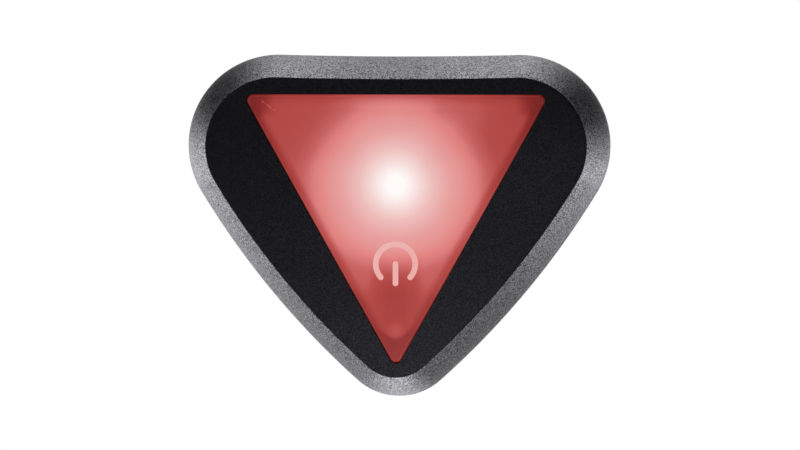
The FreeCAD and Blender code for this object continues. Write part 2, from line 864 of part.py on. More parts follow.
def shell_gasket():
    inner = gasket_outer_inset + gasket_width
    floor_y = plate_front_y + gasket_groove_depth
    ring = [
        (gasket_outer_inset, plate_front_y),
        (inner, plate_front_y),
        (inner, floor_y),
        (gasket_outer_inset, floor_y),
    ]
    return outline_ring(closed_profile(ring))


def case_screws():
    """Three cross-slot screws that hold the seat plate to the casing."""
    screws = []
    for x, z in screw_places:
        head_y = screw_seat_y + screw_head_height
        head = disc(screw_head_radius, screw_seat_y, head_y, x, z)
        head = head.makeFillet(driver_slot_depth / 2, edges_where(head, level(head_y)))
        shank = disc(screw_radius, screw_tip_y, screw_seat_y, x, z)
        shank = shank.makeChamfer(screw_tip_chamfer, edges_where(shank, level(screw_tip_y)))
        screw = joined([head, shank])
        slot_y = (head_y - driver_slot_depth, head_y + overrun)
        for width, height in (
            (driver_slot_length, driver_slot_width),
            (driver_slot_width, driver_slot_length),
        ):
            screw = screw.cut(centred_block(width, height, *slot_y, x, z))
        screws.append(screw)
    return Part.makeCompound(screws)


def battery_cover():
    """Round cover with three bayonet lugs and a coin slot."""
    hub = disc(hub_radius, hub_front_y, head_step_y)
    neck = disc(undercut_radius, head_front_y, head_step_y)
    head = disc(head_radius, head_step_y, drum_back_y)
    head = head.makeChamfer(head_chamfer, edges_where(head, level(drum_back_y)))
    lugs = [
        sector(lug_radius, lug_front_y, lug_front_y + lug_thickness, angle, lug_angle / 2)
        for angle in lug_angles()
    ]
    cover = joined([hub, neck, head] + lugs)
    floor_y = drum_back_y - coin_slot_depth
    slot = pill(coin_slot_length, coin_slot_width, floor_y, drum_back_y + overrun, along_x=True)
    return cover.cut(slot)


def cover_seal():
    return Part.makeTorus(seal_ring_radius, seal_radius, V(0, seal_y, 0), V(0, 1, 0))


def cell_cushion():
    return disc(cushion_radius, cell_back_y + cushion_gap, hub_front_y)


def snap_arm():
    """Right-hand catch: a springy arm on a round root, with a ramped hook."""
    tip_y = catch_y + hook_land + hook_ramp
    z = arm_up - arm_width / 2
    corners = [
        (arm_inner, arm_root_y),
        (arm_inner + arm_taper, tip_y),
        (arm_outer - arm_taper, tip_y),
        (hook_across, catch_y + hook_land),
        (hook_across, catch_y),
        (arm_outer, catch_y),
        (arm_outer, arm_root_y),
        (arm_inner, arm_root_y),
    ]
    arm = Part.Face(Part.makePolygon([V(x, y, z) for x, y in corners])).extrude(V(0, 0, arm_width))
    root_start = V(arm_root_across, arm_root_y, z)
    root = Part.makeCylinder(arm_root_radius, arm_width, root_start, V(0, 0, 1))
    return joined([arm, root])


os.makedirs("parts", exist_ok=True)
nodes = {
    "front_shell": front_shell(),
    "front_cover": front_cover(),
    "lens": lens(),
    "power_symbol": Part.makeCompound(symbol_marks()),
    "reflector": reflector(),
    "circuit_board": circuit_board(),
    "led_package": led_package(),
    "led_dome": led_dome(),
    "switch_body": switch_body(),
    "switch_frame": switch_frame(),
    "switch_stem": switch_stem(),
    "controller_chip": controller_chip(),
    "chip_legs": chip_legs(),
    "resistors": resistors(),
    "capacitors": capacitors(),
    "negative_contact": negative_contact(),
    "positive_contact": positive_contact(),
    "coin_cell": coin_cell(),
    "cell_gasket": cell_gasket(),
    "cell_cap": cell_cap(),
    "rear_housing": rear_housing(),
    "shell_gasket": shell_gasket(),
    "case_screws": case_screws(),
    "snap_arm_right": snap_arm(),
    "snap_arm_left": mirrored(snap_arm()),
    "battery_cover": battery_cover(),
    "cover_seal": cover_seal(),
    "cell_cushion": cell_cushion(),
}
for name, shape in nodes.items():
    shape.exportStep(f"parts/{name}.step")
    print(f"{name}: {len(shape.Solids)} solids, {shape.Volume:.3f} mm3, valid {shape.isValid()}")
box = Part.makeCompound(list(nodes.values())).optimalBoundingBox()
print(f"size {box.XLength:.2f} x {box.YLength:.2f} x {box.ZLength:.2f}, front at {box.YMin:.2f}")
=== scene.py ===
import json
import math

import bmesh
import bpy
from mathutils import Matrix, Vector


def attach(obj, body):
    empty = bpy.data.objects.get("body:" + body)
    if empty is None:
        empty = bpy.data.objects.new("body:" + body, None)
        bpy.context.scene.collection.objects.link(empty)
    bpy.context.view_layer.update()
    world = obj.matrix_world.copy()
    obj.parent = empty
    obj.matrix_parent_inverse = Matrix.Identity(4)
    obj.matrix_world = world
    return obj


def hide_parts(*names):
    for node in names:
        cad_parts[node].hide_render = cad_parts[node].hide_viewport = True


# A plug-in rear light for a bicycle helmet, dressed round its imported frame.
# X is to the right as seen from the front, Z is up, and the lens faces towards -Y.
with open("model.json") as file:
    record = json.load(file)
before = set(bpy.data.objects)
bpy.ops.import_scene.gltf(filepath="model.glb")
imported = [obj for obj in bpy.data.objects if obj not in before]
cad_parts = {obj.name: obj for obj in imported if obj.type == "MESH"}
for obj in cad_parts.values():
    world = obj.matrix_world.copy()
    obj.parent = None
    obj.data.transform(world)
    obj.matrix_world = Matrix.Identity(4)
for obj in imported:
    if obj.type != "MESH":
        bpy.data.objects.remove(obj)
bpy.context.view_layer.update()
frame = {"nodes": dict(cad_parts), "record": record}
scene = bpy.context.scene
MM = 0.001

# Outline of the casing, seen from the front, in millimetres
CORNER_ACROSS = 12.098
CORNER_UP = 6.09
CORNER_RADIUS = 9.01
TOE_DOWN = 12.774
TOE_RADIUS = 6.23
SIDE_BOW_RADIUS = 83.0
TOP_DIP_RADIUS = 430.0
OUTLINE_STEP_DEG = 2.0
OUTLINE_STEP_LENGTH = 0.6
OUTLINE_STEPS_LEAST = 4

# Levels along Y, in millimetres
FACE = -7.2
LAND = -6.7
RECESS_FLOOR = -6.4
DECK_BACK = -5.2
PIVOT_LEVEL = -4.6
PIVOT_WAY_BACK = -2.5
BOARD_FRONT = -3.2
PLATE_FRONT = -1.5
RIM_BACK = -0.3

# Casing ring
SLOPE_WIDTH = 2.1
SLOPE_BULGE = 0.28
SLOPE_STEPS = 14
RIM_WALL = 1.2
CAVITY_INSET = 2.7
COVER_STEP = 0.5
COVER_GAP = 0.04
COVER_EDGE = 0.42
WINDOW_EDGE = 0.12
RIM_EDGE = 0.12
LAND_EDGE = 0.1

# Lens and what is round it
LENS_HALF_WIDTH = 15.078
LENS_HEIGHT = 26.98
LENS_TOP = 11.17
LENS_CORNER = 0.48
LENS_CORNER_STEPS = 10
LENS_GAP = 0.12
PIVOT_UP = 9.9
LENS_SIDE = math.hypot(LENS_HALF_WIDTH, LENS_HEIGHT)
LENS_INRADIUS = LENS_HALF_WIDTH * LENS_HEIGHT / (LENS_SIDE + LENS_HALF_WIDTH)
LIGHT_UP = LENS_TOP - LENS_INRADIUS
# Height of the glow's middle, which is the lamp's to within 0.01 mm
GLOW_UP = 2.32

# Screw bosses, posts and cradles inside the casing
SCREW_PLACES = ((-16.335, 5.665), (16.335, 5.665), (0.0, -15.2))
BOSS_RADIUS = 1.65
BORE_RADIUS = 0.83
BORE_END = -3.45
BORE_CAP = 0.3
POST_ACROSS = 12.9
POST_UP = 3.2
POST_RADIUS = 0.8
CRADLE_INNER = 15.95
CRADLE_OUTER = 17.0
CRADLE_CUT_PAST = 0.05
CRADLE_HALF_HEIGHT = 1.0
CRADLE_RISE = 0.6
PIVOT_SLOT_RADIUS = 0.55

# Battery drum and its cover, seen from behind, and the raised marks on them
DRUM_BACK = 6.295
RIM_MIDDLE_RADIUS = 11.97
MARK_RISE = 0.18
MARK_SINK = 0.05
MARK_EDGE = 0.05
DOT_RADIUS = 0.25
DOT_STEPS = 20
OPEN_RING_HOLE_RADIUS = 0.125
CLOSED_AT_DEG = 90.0
OPEN_AT_DEG = 45.0
ARROW_RADIUS = 8.4
ARROW_HALF_WIDTH = 0.32
ARROW_HEAD_HALF_WIDTH = 0.85
ARROW_START_DEG = 305.0
ARROW_NECK_DEG = 243.0
ARROW_TIP_DEG = 234.0
ARROW_STEPS = 24
INDEX_HALF_WIDTH = 0.4
INDEX_FOOT = 9.9
INDEX_TIP = 11.15
PLUS_UP = 5.2
PLUS_ARM = 1.1
PLUS_HALF_WIDTH = 0.25


# Camera, at the photograph's angle

CAMERA_AZIMUTH = 3.6
CAMERA_ELEVATION = 2.3
CAMERA_DISTANCE = 1.0
CAMERA_LENS = 450.0
CAMERA_TARGET = Vector((0.093, -1.5, -1.9)) * MM

camera_data = bpy.data.cameras.new("camera")
camera_data.lens = CAMERA_LENS
camera_data.sensor_width = 36.0
camera_data.clip_start = 0.05
camera = bpy.data.objects.new("camera", camera_data)
scene.collection.objects.link(camera)
azimuth = math.radians(CAMERA_AZIMUTH)
elevation = math.radians(CAMERA_ELEVATION)
backwards = Vector(
    (
        math.sin(azimuth) * math.cos(elevation),
        -math.cos(azimuth) * math.cos(elevation),
        math.sin(elevation),
    )
)
camera.location = CAMERA_TARGET + backwards * CAMERA_DISTANCE
camera.rotation_mode = "QUATERNION"
camera.rotation_quaternion = (-backwards).to_track_quat("-Z", "Y")
scene.camera = camera
scene.view_settings.view_transform = "Standard"


# Node building: sums on sockets are written as plain Python


def srgb(red, green, blue):
    """A linear colour from screen values of 0 to 255."""
    linear = []
    for value in (red, green, blue):
        share = value / 255
        linear.append(share / 12.92 if share <= 0.04045 else ((share + 0.055) / 1.055) ** 2.4)
    return (*linear, 1.0)


class Value:
    """One socket. Python's operators on it add the Math nodes that work the result out."""

    def __init__(self, paint, socket):
        self.paint = paint
        self.socket = socket

    def __add__(self, other):
        return self.paint.maths("ADD", self, other)

    __radd__ = __add__

    def __sub__(self, other):
        return self.paint.maths("SUBTRACT", self, other)

    def __rsub__(self, other):
        return self.paint.maths("SUBTRACT", other, self)

    def __mul__(self, other):
        return self.paint.maths("MULTIPLY", self, other)

    __rmul__ = __mul__

    def __truediv__(self, other):
        return self.paint.maths("DIVIDE", self, other)

    def __pow__(self, other):
        return self.paint.maths("POWER", self, other)

    def __abs__(self):
        return self.paint.maths("ABSOLUTE", self)


class Paint:
    """The nodes of one material, or of the world."""

    def __init__(self, tree):
        self.tree = tree
        tree.nodes.clear()

    def node(self, kind, settings, sockets, out=0):
        """Adds a node: its settings first, then its sockets' values or links."""
        made = self.tree.nodes.new(kind)
        for name, setting in settings.items():
            if name == "stops":
                self.fill_ramp(made.color_ramp, setting)
            else:
                setattr(made, name, setting)
        for name, given in sockets.items():
            if isinstance(given, Value):
                self.tree.links.new(given.socket, made.inputs[name])
            else:
                made.inputs[name].default_value = given
        return Value(self, made.outputs[out]) if made.outputs else None

    @staticmethod
    def fill_ramp(ramp, stops):
        ramp.elements.remove(ramp.elements[1])
        element = ramp.elements[0]
        for number, (place, colour) in enumerate(stops):
            if number:
                element = ramp.elements.new(place)
            element.position = place
            element.color = (colour, colour, colour, 1.0) if isinstance(colour, float) else colour

    def maths(self, operation, *terms):
        return self.node("ShaderNodeMath", {"operation": operation}, dict(enumerate(terms)))

    def smaller(self, one, other):
        return self.maths("MINIMUM", one, other)

    def fade(self, value, start, end, low=0.0, high=1.0):
        """Low before the start, high after the end, and smooth between them."""
        settings = {"interpolation_type": "SMOOTHSTEP"}
        return self.node("ShaderNodeMapRange", settings, {0: value, 1: start, 2: end, 3: low, 4: high})

    def ramp(self, value, stops):
        return self.node("ShaderNodeValToRGB", {"stops": stops}, {0: value})

    def curve(self, value, points):
        """A number read off straight lines between points, which may lie in any range."""
        low, high = points[0][0], points[-1][0]
        top = max(level for place, level in points)
        stops = [((place - low) / (high - low), level / top) for place, level in points]
        share = self.node("ShaderNodeMapRange", {}, {0: value, 1: low, 2: high, 3: 0.0, 4: 1.0})
        return self.ramp(share, stops) * top

    def mix(self, share, one, other):
        """A colour between two: the first at a share of 0 and the other at 1."""
        return self.node("ShaderNodeMix", {"data_type": "RGBA"}, {0: share, 6: one, 7: other}, out=2)

    def vector(self, operation, one, other):
        second = "Scale" if operation == "SCALE" else 1
        return self.node("ShaderNodeVectorMath", {"operation": operation}, {0: one, second: other})

    def split(self, vector):
        """The three numbers of a vector."""
        made = self.node("ShaderNodeSeparateXYZ", {}, {0: vector})
        return made, *(Value(self, made.socket.node.outputs[i]) for i in (1, 2))

    def noise(self, place, per_mm, detail=2.0, roughness=0.5, stretch=None):
        """Cloudy noise from 0 to 1, about 0.5."""
        if stretch:
            place = self.vector("MULTIPLY", place, stretch)
        sockets = {"Vector": place, "Scale": per_mm, "Detail": detail, "Roughness": roughness}
        return self.node("ShaderNodeTexNoise", {}, sockets, out="Fac")

    def cells(self, place, per_mm):
        """Distance to the nearest of some scattered places."""
        return self.node("ShaderNodeTexVoronoi", {}, {"Vector": place, "Scale": per_mm}, out="Distance")


class Finish(Paint):
    """A material with one principled shader."""

    def __init__(self, name):
        self.material = bpy.data.materials.new(name)
        self.material.use_nodes = True
        super().__init__(self.material.node_tree)
        coordinates = self.node("ShaderNodeTexCoord", {}, {}, out="Object")
        self.place = self.vector("SCALE", coordinates, 1 / MM)

    def bump(self, height, depth_mm, strength):
        """A normal from a height of 0 to 1 that stands for a depth in millimetres."""
        sockets = {"Height": height, "Distance": depth_mm * MM, "Strength": strength}
        return self.node("ShaderNodeBump", {}, sockets, out="Normal")

    def shader(self, **sockets):
        """Ends the material in a principled shader with the given sockets."""
        named = {name.replace("_", " "): value for name, value in sockets.items()}
        shader = self.node("ShaderNodeBsdfPrincipled", {}, named)
        self.node("ShaderNodeOutputMaterial", {}, {"Surface": shader})
        return self.material


# Studio: a white background all round, and a dark screen that only gloss shows

STUDIO_LIGHT = 0.55
WHITE = (1.0, 1.0, 1.0, 1.0)
# How much of the white each angle round the Y axis lets through, from +X towards +Z, in degrees
WHITE_ROUND = (
    (-180, 0.70),
    (-165, 1.00),
    (-152, 0.85),
    (-138, 0.235),
    (-118, 0.56),
    (-100, 0.96),
    (-86, 0.96),
    (-72, 0.43),
    (-56, 0.14),
    (-44, 0.07),
    (-34, 0.68),
    (-24, 1.00),
    (-12, 0.58),
    (0, 0.32),
    (12, 0.06),
    (30, 0.02),
    (48, 0.03),
    (62, 0.22),
    (76, 0.46),
    (90, 0.76),
    (104, 0.45),
    (118, 0.12),
    (132, 0.02),
    (150, 0.02),
    (164, 0.12),
    (174, 0.40),
    (180, 0.70),
)

world = bpy.data.worlds.new("studio")
scene.world = world
world.use_nodes = True
studio = Paint(world.node_tree)
light = studio.node("ShaderNodeBackground", {}, {"Color": WHITE, "Strength": STUDIO_LIGHT})
white = studio.node("ShaderNodeBackground", {}, {"Color": WHITE, "Strength": 1.0})
ray_kinds = ("Camera", "Glossy", "Transmission")
rays = [studio.node("ShaderNodeLightPath", {}, {}, out=f"Is {kind} Ray") for kind in ray_kinds]
both = studio.node("ShaderNodeMixShader", {}, {0: rays[0] + rays[1] + rays[2], 1: light, 2: white})
studio.node("ShaderNodeOutputWorld", {}, {"Surface": both})

SCREEN_RADIUS = 1500.0
# How much the screen lets through in front, and behind
CLEAR_IN_FRONT = 0.15
CLEAR_BEHIND = 0.45
# Where along Y its front part ends and its back part begins, in shares of its radius
FRONT_ENDS = (-0.6, -0.1)
BACK_BEGINS = (0.86, 0.97)


def dark_screen():
    """A round screen about the studio that dims what gloss shows of it, and lights and hides nothing."""
    bpy.ops.object.select_all(action="DESELECT")
    bpy.ops.mesh.primitive_uv_sphere_add(segments=48, ring_count=24, radius=SCREEN_RADIUS * MM)
    made = bpy.context.active_object
    made.name = "dark_screen"
    paint = Finish("dark_screen")
    x, y, z = paint.split(paint.place)
    deep = y / SCREEN_RADIUS
    degrees_round = paint.maths("ARCTAN2", z, x) * (180 / math.pi)
    clear = paint.curve(degrees_round, WHITE_ROUND)
    clear = clear + paint.fade(deep, *BACK_BEGINS) * (CLEAR_BEHIND - clear)
    clear = CLEAR_IN_FRONT + paint.fade(deep, *FRONT_ENDS) * (clear - CLEAR_IN_FRONT)
    paint.shader(Base_Color=(0.0, 0.0, 0.0, 1.0), Specular_IOR_Level=0.0, Alpha=1.0 - clear)
    made.data.materials.append(paint.material)
    made.visible_camera = False
    made.visible_diffuse = False
    made.visible_shadow = False


# Lamps: soft panels that the camera doesn't see


def soft_panel(name, place_mm, aim_mm, size_mm, watts):
    """A flat lamp at a place that looks at another."""
    data = bpy.data.lights.new(name, "AREA")
    data.shape = "RECTANGLE"
    data.size = size_mm[0] * MM
    data.size_y = size_mm[1] * MM
    data.energy = watts
    panel = bpy.data.objects.new(name, data)
    scene.collection.objects.link(panel)
    panel.location = Vector(place_mm) * MM
    towards = (Vector(aim_mm) - Vector(place_mm)).normalized()
    panel.rotation_mode = "QUATERNION"
    panel.rotation_quaternion = towards.to_track_quat("-Z", "Y")
    panel.visible_camera = False


soft_panel("key_panel", place_mm=(-260, -520, 420), aim_mm=(0, -4, -2), size_mm=(420, 320), watts=1.6)
soft_panel("toe_panel", place_mm=(8, -29, -27), aim_mm=(0, -7, -16), size_mm=(10, 8), watts=0.006)
dark_screen()


# Finishes

# The ring's dark and light specks, and the haze over them
GRAPHITE_DARK = (0.06, 0.059, 0.065, 1.0)
GRAPHITE_LIGHT = (0.85, 0.84, 0.906, 1.0)
GRAPHITE_HAZE = (0.3, 0.3, 0.32, 1.0)
GRAPHITE_SPECK_EDGE = (0.43, 0.57)
# Painted shade darkens the middle of the ring's top a little: its place across, how far it reaches and how
# high it begins
PAINTED_SHADE_MIDDLE = -1.5
PAINTED_SHADE_REACH = (8.5, 2.0)
PAINTED_SHADE_HEIGHT = (9.0, 11.0)
PAINTED_SHADE_SHARE = 0.2
PAINTED_SHADE_COLOUR = (0.02, 0.02, 0.022, 1.0)


def graphite():
    """Satin metallic grey of the ring: a fine eroded texture with dark and light specks, and painted shade at
    the middle of its top.
    """
    paint = Finish("satin_graphite")
    fine = paint.noise(paint.place, per_mm=12.0, detail=1.0)
    grit = paint.noise(paint.place, per_mm=4.5, detail=2.0, roughness=0.6)
    broad = paint.noise(paint.place, per_mm=0.3, detail=2.0)
    specks = paint.fade(0.65 * fine + 0.35 * grit, *GRAPHITE_SPECK_EDGE)
    base = paint.mix(specks, GRAPHITE_DARK, GRAPHITE_LIGHT)
    base = paint.mix(0.16 * broad, base, GRAPHITE_HAZE)
    x, y, z = paint.split(paint.place)
    # Painted shade: the middle of the ring's top is darkened
    painted_shade = paint.fade(abs(x - PAINTED_SHADE_MIDDLE), *PAINTED_SHADE_REACH) * paint.fade(z, *PAINTED_SHADE_HEIGHT)
    base = paint.mix(PAINTED_SHADE_SHARE * painted_shade, base, PAINTED_SHADE_COLOUR)
    return paint.shader(
        Base_Color=base,
        Metallic=1.0,
        Roughness=0.28 + 0.1 * grit + 0.06 * broad,
        Normal=paint.bump(0.5 * fine + 0.5 * grit, depth_mm=0.03, strength=0.6),
    )


# Painted light on the black face by height, on its left and on its right, paler towards the toe; 1 is the
# palest
FACE_PAINTED_LIGHT_LEFT = (
    (-17.0, 0.97),
    (-13.0, 0.96),
    (-10.5, 0.87),
    (-6.5, 0.63),
    (-3.5, 0.60),
    (-0.5, 0.43),
    (2.5, 0.28),
    (8.5, 0.05),
    (12.0, 0.0),
)
FACE_PAINTED_LIGHT_RIGHT = (
    (-17.0, 0.88),
    (-15.0, 0.84),
    (-12.0, 0.80),
    (-9.5, 0.71),
    (-5.5, 0.69),
    (-2.5, 0.60),
    (1.5, 0.76),
    (6.0, 0.63),
    (8.5, 0.24),
    (12.0, 0.0),
)
FACE_LEFT_TO_RIGHT = (-6.0, 6.0)
# The face's dark and pale grains under the least and the most painted light, and its single specks of dust
FACE_DARK_SHADED = (0.0010, 0.0009, 0.0014, 1.0)
FACE_DARK_LIT = (0.0034, 0.0032, 0.0043, 1.0)
FACE_PALE_SHADED = (0.0064, 0.0059, 0.0097, 1.0)
FACE_PALE_LIT = (0.0166, 0.0159, 0.0212, 1.0)
FACE_SPECK = (0.035, 0.034, 0.037, 1.0)
FACE_SPECK_EDGE = (0.07, 0.03)
FACE_GRAIN_EDGE = (0.44, 0.56)


def soft_touch():
    """Matte black rubbery lacquer with a very fine grain, and painted light that makes it paler towards the
    toe.
    """
    paint = Finish("soft_touch_black")
    x, y, z = paint.split(paint.place)
    fine = paint.fade(paint.noise(paint.place, per_mm=9.0, detail=1.0), *FACE_GRAIN_EDGE)
    broad = paint.noise(paint.place, per_mm=0.25, detail=2.0)
    # Painted light that makes the face paler towards the toe
    left = paint.curve(z, FACE_PAINTED_LIGHT_LEFT)
    right = paint.curve(z, FACE_PAINTED_LIGHT_RIGHT)
    painted_light = left + (right - left) * paint.fade(x, *FACE_LEFT_TO_RIGHT)
    specks = paint.fade(paint.cells(paint.place, per_mm=1.3), *FACE_SPECK_EDGE)
    dark = paint.mix(painted_light, FACE_DARK_SHADED, FACE_DARK_LIT)
    pale = paint.mix(painted_light, FACE_PALE_SHADED, FACE_PALE_LIT)
    base = paint.mix(0.4 * specks, paint.mix(fine, dark, pale), FACE_SPECK)
    return paint.shader(
        Base_Color=base,
        Roughness=0.66 + 0.12 * fine + 0.06 * broad,
        Specular_IOR_Level=0.12,
        Normal=paint.bump(fine, depth_mm=0.02, strength=0.6),
    )


# Glow of the lens by distance from the lamp, in millimetres; 1 is white and 0 the darkest red
GLOW_BY_DISTANCE = (
    (0.0, 1.0),
    (0.9, 0.995),
    (1.5, 0.95),
    (2.0, 0.915),
    (2.6, 0.87),
    (3.4, 0.82),
    (4.2, 0.77),
    (5.0, 0.715),
    (5.8, 0.675),
    (6.5, 0.64),
    (7.2, 0.59),
    (7.8, 0.545),
    (8.3, 0.51),
    (8.8, 0.45),
    (9.3, 0.40),
    (9.8, 0.36),
    (10.5, 0.32),
    (11.5, 0.30),
    (13.0, 0.285),
    (14.5, 0.27),
    (16.0, 0.20),
    (17.0, 0.10),
)
# Share of the glow that is left at the slanted edges, by height
GLOW_AT_SIDE = (
    (-14.0, 0.50),
    (-10.0, 0.52),
    (-6.0, 0.58),
    (-3.0, 0.66),
    (0.0, 0.64),
    (3.0, 0.56),
    (6.0, 0.52),
    (9.0, 0.44),
    (11.2, 0.38),
)
# Share of the glow by distance from the top edge
GLOW_AT_TOP = ((0.0, 0.58), (0.13, 0.67), (0.43, 0.83), (0.83, 0.95), (1.2, 1.0))
GLOW_COLOURS = (
    (0.00, srgb(108, 30, 31)),
    (0.10, srgb(135, 44, 43)),
    (0.22, srgb(168, 67, 63)),
    (0.30, srgb(178, 77, 74)),
    (0.42, srgb(198, 102, 100)),
    (0.55, srgb(222, 131, 129)),
    (0.68, srgb(228, 157, 155)),
    (0.80, srgb(235, 188, 186)),
    (0.90, srgb(244, 222, 220)),
    (1.00, srgb(254, 251, 249)),
)
LENS_BODY = (0.08, 0.012, 0.011, 1.0)
LENS_BODY_PALE = (0.1, 0.015, 0.014, 1.0)
# What the studio light adds to the lens, which its glow leaves room for
LENS_LIT_BODY = (0.075, 0.022, 0.021, 1.0)
# At the rounded edges and in the corners' tips the studio adds less
EDGE_LIT_BODY = (0.02, 0.004, 0.004, 1.0)
EDGE_ROUNDING = (0.0, 0.15)
CORNER_TIP = (14.7, 14.4)
# The glow's borders in millimetres, each from where a change begins to where it is complete
GLOW_UPWARDS_MOST = 7.4
WAISTED_BY = 0.4
WAIST_ACROSS = (2.5, 5.0)
WAIST_UP = (1.0, 4.0)
RIGHT_HALF = (-1.0, 1.0)
RIGHT_DIMMED_BY = 0.02
RIGHT_DIMMED = (7.5, 9.5)
PATCH_GLOW = 0.035
PATCH_LEFT_EDGE = (4.0, 6.0)
PATCH_RIGHT_EDGE = (11.0, 8.0)
PATCH_UP = (4.5, 7.0)
SIDE_BAND = (0.1, 1.05)
RIGHT_EDGE_DIMMED_BY = 0.1
RIGHT_EDGE_DIMMED = (4.0, 9.0)
CORNER_DIMMED_BY = 0.5
CORNER_ACROSS_SHADE = (11.6, 13.6)
CORNER_DOWN_SHADE = (2.4, 1.2)
# The dim toe, with a pale spot near its end and a dark tip below
TOE_SHADE = (-3.8, -9.2)
TOE_GLOW = 0.18
TOE_MIDDLE_WIDTH = (0.6, 1.6)
TOE_MIDDLE_RISE = 0.03
TOE_BESIDE = (1.6, 3.0)
TOE_BESIDE_GLOW = 0.04
TOE_BESIDE_HIGH = (-9.6, -7.0)
TOE_BESIDE_HIGH_GLOW = 0.13
SPOT_UP = -12.2
SPOT_REACH = (1.2, 0.2)
SPOT_GLOW = 0.09
TIP_CENTRE_UP = -11.6
TIP_AWAY = (1.05, 1.65)
TIP_DOWN = (-11.9, -12.7)
TIP_GLOW = 0.09
# The hair-thin pale line at the lens's top left corner, brighter in the glow: middle, way, reach along and
# across, and glow
PALE_LINE_MIDDLE = (-12.67, 10.16)
PALE_LINE_WAY = (0.811, -0.585)
PALE_LINE_ALONG = (0.9, 0.72)
PALE_LINE_ACROSS = (0.1, 0.0)
PALE_LINE_GLOW = 0.42


def lamp_glow(paint, x, z):
    """Glow by distance from the lamp, drawn in at the sides above it, with a patch at the right."""
    up = z - GLOW_UP
    raised = paint.smaller(up, GLOW_UPWARDS_MOST)
    distance = (x * x + raised * raised) ** 0.5
    waist = paint.fade(abs(x), *WAIST_ACROSS) * paint.fade(up, *WAIST_UP)
    distance = distance + WAISTED_BY * waist
    glow = paint.curve(distance, GLOW_BY_DISTANCE) - RIGHT_DIMMED_BY * paint.fade(x, *RIGHT_DIMMED)
    patch = paint.fade(x, *PATCH_LEFT_EDGE) * paint.fade(up, *PATCH_UP) * paint.fade(x, *PATCH_RIGHT_EDGE)
    return glow + PATCH_GLOW * patch


def edge_share(paint, x, z, to_side, to_top):
    """Share of the glow that the dark bands along the lens's edges leave."""
    right = paint.fade(x, *RIGHT_HALF)
    at_side = paint.curve(z, GLOW_AT_SIDE) - RIGHT_EDGE_DIMMED_BY * right * paint.fade(z, *RIGHT_EDGE_DIMMED)
    side_band = at_side + (1.0 - at_side) * paint.fade(to_side, *SIDE_BAND)
    corner = paint.fade(abs(x), *CORNER_ACROSS_SHADE) * paint.fade(to_top, *CORNER_DOWN_SHADE)
    return side_band * (1.0 - CORNER_DIMMED_BY * corner) * paint.curve(to_top, GLOW_AT_TOP)


def away_from(x, z, up):
    """Distance from a place on the middle line."""
    return (x * x + (z - up) * (z - up)) ** 0.5


def toe_glow(paint, x, z):
    """Dim glow of the toe, paler at the sides and at a spot near its end."""
    beside = paint.fade(abs(x), *TOE_BESIDE)
    glow = TOE_GLOW + TOE_MIDDLE_RISE * paint.fade(abs(x), *TOE_MIDDLE_WIDTH)
    glow = glow + beside * (TOE_BESIDE_GLOW + TOE_BESIDE_HIGH_GLOW * paint.fade(z, *TOE_BESIDE_HIGH))
    return glow + SPOT_GLOW * paint.fade(away_from(x, z, SPOT_UP), *SPOT_REACH)


def pale_line_share(paint, x, z):
    """1 on the pale line and 0 beside it, uneven along its length."""
    from_x = x - PALE_LINE_MIDDLE[0]
    from_z = z - PALE_LINE_MIDDLE[1]
    along = PALE_LINE_WAY[0] * from_x + PALE_LINE_WAY[1] * from_z
    across = PALE_LINE_WAY[0] * from_z - PALE_LINE_WAY[1] * from_x
    line = paint.fade(abs(across), *PALE_LINE_ACROSS) * paint.fade(abs(along), *PALE_LINE_ALONG)
    uneven = paint.noise(paint.place, per_mm=2.5, detail=1.0)
    return line * paint.fade(uneven, 0.4, 0.6, low=0.2)


def lit_lens():
    """Frosted red with the lamp's glow: bright over the lamp, dark at the edges and the toe."""
    paint = Finish("frosted_red")
    x, y, z = paint.split(paint.place)
    slant = LENS_HEIGHT / LENS_SIDE
    lean = LENS_HALF_WIDTH / LENS_SIDE
    to_side = LENS_INRADIUS - (slant * abs(x) - lean * (z - LIGHT_UP))
    to_top = LENS_TOP - z
    glow = lamp_glow(paint, x, z)
    glow = glow + paint.fade(z, *TOE_SHADE) * (toe_glow(paint, x, z) - glow)
    glow = glow * edge_share(paint, x, z, to_side, to_top)
    tip = paint.fade(away_from(x, z, TIP_CENTRE_UP), *TIP_AWAY) * paint.fade(z, *TIP_DOWN)
    glow = glow + tip * (paint.smaller(glow, TIP_GLOW) - glow)
    frost = paint.noise(paint.place, per_mm=5.0, detail=3.0)
    swirl = paint.noise(paint.place, per_mm=0.3, detail=2.0)
    glow = glow + 0.02 * (frost - 0.5) + 0.03 * (swirl - 0.5)
    # A hair-thin pale line at the top left corner, made brighter in the glow
    glow = glow + pale_line_share(paint, x, z) * (PALE_LINE_GLOW - glow)
    lit = paint.ramp(glow, GLOW_COLOURS)
    inner = paint.fade(paint.smaller(to_side, to_top), *EDGE_ROUNDING) * paint.fade(abs(x), *CORNER_TIP)
    body = paint.mix(inner, EDGE_LIT_BODY, LENS_LIT_BODY)
    emission = paint.vector("MAXIMUM", paint.vector("SUBTRACT", lit, body), (0.0, 0.0, 0.0))
    return paint.shader(
        Base_Color=paint.mix(frost, LENS_BODY, LENS_BODY_PALE),
        Roughness=0.42 + 0.1 * frost,
        Specular_IOR_Level=0.25,
        Emission_Color=emission,
        Emission_Strength=1.0,
        Normal=paint.bump(frost, depth_mm=0.008, strength=0.4),
    )


# Colours of the symbol at its foot, its top and its right half, and of the clouds in it
SYMBOL_FOOT = srgb(229, 171, 168)
SYMBOL_TOP = srgb(230, 177, 174)
SYMBOL_RIGHT = srgb(227, 169, 166)
SYMBOL_CLOUD = srgb(216, 150, 146)
# Where its foot turns into its top and its left half into its right
SYMBOL_UPWARDS = (-8.2, -3.4)
SYMBOL_RIGHTWARDS = (0.0, 2.0)
# What the studio light adds to it, and its plastic
SYMBOL_LIT_BODY = (0.12, 0.06, 0.06)
SYMBOL_BODY = (0.16, 0.07, 0.07, 1.0)
SYMBOL_BODY_DARK = (0.13, 0.06, 0.06, 1.0)


